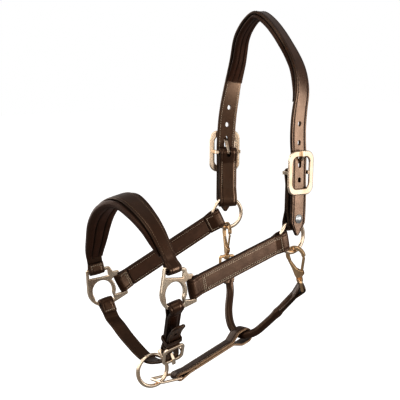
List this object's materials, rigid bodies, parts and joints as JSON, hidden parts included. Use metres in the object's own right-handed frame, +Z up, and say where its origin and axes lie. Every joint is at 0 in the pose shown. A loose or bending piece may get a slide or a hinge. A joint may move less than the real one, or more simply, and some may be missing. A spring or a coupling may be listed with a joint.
{
  "type": "headcollar",
  "caption": "Padded leather horse headcollar: crown, noseband, cheek and jaw straps joined by cast metal squares and rings, with buckles, a lead ring and a clip-on throat lash.",
  "frame": {"origin": "underside of the crown on the poll", "axes": "-X muzzle side, -Y near side, +Z up"},
  "size_m": [0.2636, 0.1862, 0.4764],
  "materials": {
    "strap_leather": "satin",
    "lining_leather": "matte",
    "polished_brass": "polished",
    "stud_steel": "polished"
  },
  "bodies": {
    "strapwork": {"crown_strap": "strap_leather", "crown_padding": "lining_leather", "crown_stud": "stud_steel", "noseband_strap": "strap_leather", "noseband_padding": "lining_leather", "chin_chape": "strap_leather", "chin_buckle": "polished_brass", "jaw_strap": "strap_leather", "under_jaw_strap": "strap_leather", "throat_lash": "strap_leather", "near_crown_chape": "strap_leather", "near_crown_buckle": "polished_brass", "near_halter_square": "polished_brass", "near_cheek_strap": "strap_leather", "near_cheek_lining": "lining_leather", "near_snap_eye": "polished_brass", "far_crown_chape": "strap_leather", "far_crown_buckle": "polished_brass", "far_halter_square": "polished_brass", "far_cheek_strap": "strap_leather", "far_cheek_lining": "lining_leather", "far_snap_eye": "polished_brass"},
    "near_ring": {"near_cheek_ring": "polished_brass"},
    "far_ring": {"far_cheek_ring": "polished_brass"},
    "chin_lead_ring": {"chin_ring": "polished_brass"},
    "near_tongue": {"near_crown_tongue": "polished_brass"},
    "far_tongue": {"far_crown_tongue": "polished_brass"},
    "chin_buckle_tongue": {"chin_tongue": "polished_brass"},
    "near_hook": {"near_snap_hook": "polished_brass", "near_gate_pin": "polished_brass", "near_gate_spring": "stud_steel"},
    "far_hook": {"far_snap_hook": "polished_brass", "far_gate_pin": "polished_brass", "far_gate_spring": "stud_steel"},
    "near_gate": {"near_snap_gate": "polished_brass"},
    "far_gate": {"far_snap_gate": "polished_brass"},
    "link": {"chin_link": "polished_brass"},
    "keeper": {"chin_keeper": "strap_leather"}
  },
  "joints": [
    {"name": "near_tongue_lift", "type": "hinge", "parent": "strapwork", "child": "near_tongue", "pos_m": [0.0135, -0.06, -0.19502], "axis": [0.9966, 0.0785, -0.0232], "range_deg": [0, 6]},
    {"name": "far_tongue_lift", "type": "hinge", "parent": "strapwork", "child": "far_tongue", "pos_m": [-0.0036, 0.06, -0.1785], "axis": [-0.9612, 0.2756, 0.006], "range_deg": [0, 6]},
    {"name": "chin_tongue_lift", "type": "hinge", "parent": "strapwork", "child": "chin_buckle_tongue", "pos_m": [-0.162, -0.0326, -0.405], "axis": [-0.9558, 0.1313, -0.2632], "range_deg": [0, 6]},
    {"name": "near_ring_spin", "type": "hinge", "parent": "strapwork", "child": "near_ring", "pos_m": [0.012, -0.06, -0.28], "axis": [0.0785, -0.9969, 0], "continuous": true},
    {"name": "far_ring_spin", "type": "hinge", "parent": "strapwork", "child": "far_ring", "pos_m": [-0.004, 0.06, -0.2635], "axis": [-0.2756, -0.9613, 0], "continuous": true},
    {"name": "chin_ring_spin", "type": "hinge", "parent": "strapwork", "child": "chin_lead_ring", "pos_m": [-0.166, 0, -0.443], "axis": [-0.1045, -0.9945, 0], "continuous": true},
    {"name": "near_snap_swivel", "type": "hinge", "parent": "strapwork", "child": "near_hook", "pos_m": [0.0173, -0.0604, -0.2998], "axis": [-0.2531, -0.046, 0.9663], "range_deg": [-10, 6]},
    {"name": "near_gate_swing", "type": "hinge", "parent": "near_hook", "child": "near_gate", "pos_m": [0.02716, -0.06264, -0.3294], "axis": [-0.84, -0.485, -0.2431], "range_deg": [0, 18], "stiffness_Nm_per_rad": 0.02},
    {"name": "far_snap_swivel", "type": "hinge", "parent": "strapwork", "child": "far_hook", "pos_m": [-0.004, 0.06, -0.284], "axis": [0.03, 0.02, 0.9993], "range_deg": [-10, 6]},
    {"name": "far_gate_swing", "type": "hinge", "parent": "far_hook", "child": "far_gate", "pos_m": [-0.00608, 0.05534, -0.31487], "axis": [-0.961, 0.2756, 0.0233], "range_deg": [0, 18], "stiffness_Nm_per_rad": 0.02},
    {"name": "link_swing", "type": "hinge", "parent": "strapwork", "child": "link", "pos_m": [-0.1285, 0, -0.458], "axis": [0, 1, 0], "range_deg": [0, 8]},
    {"name": "keeper_slide", "type": "slide", "parent": "strapwork", "child": "keeper", "axis": [0.2891, 0.5843, -0.7583], "range_m": [-0.008, 0.001]}
  ]
}
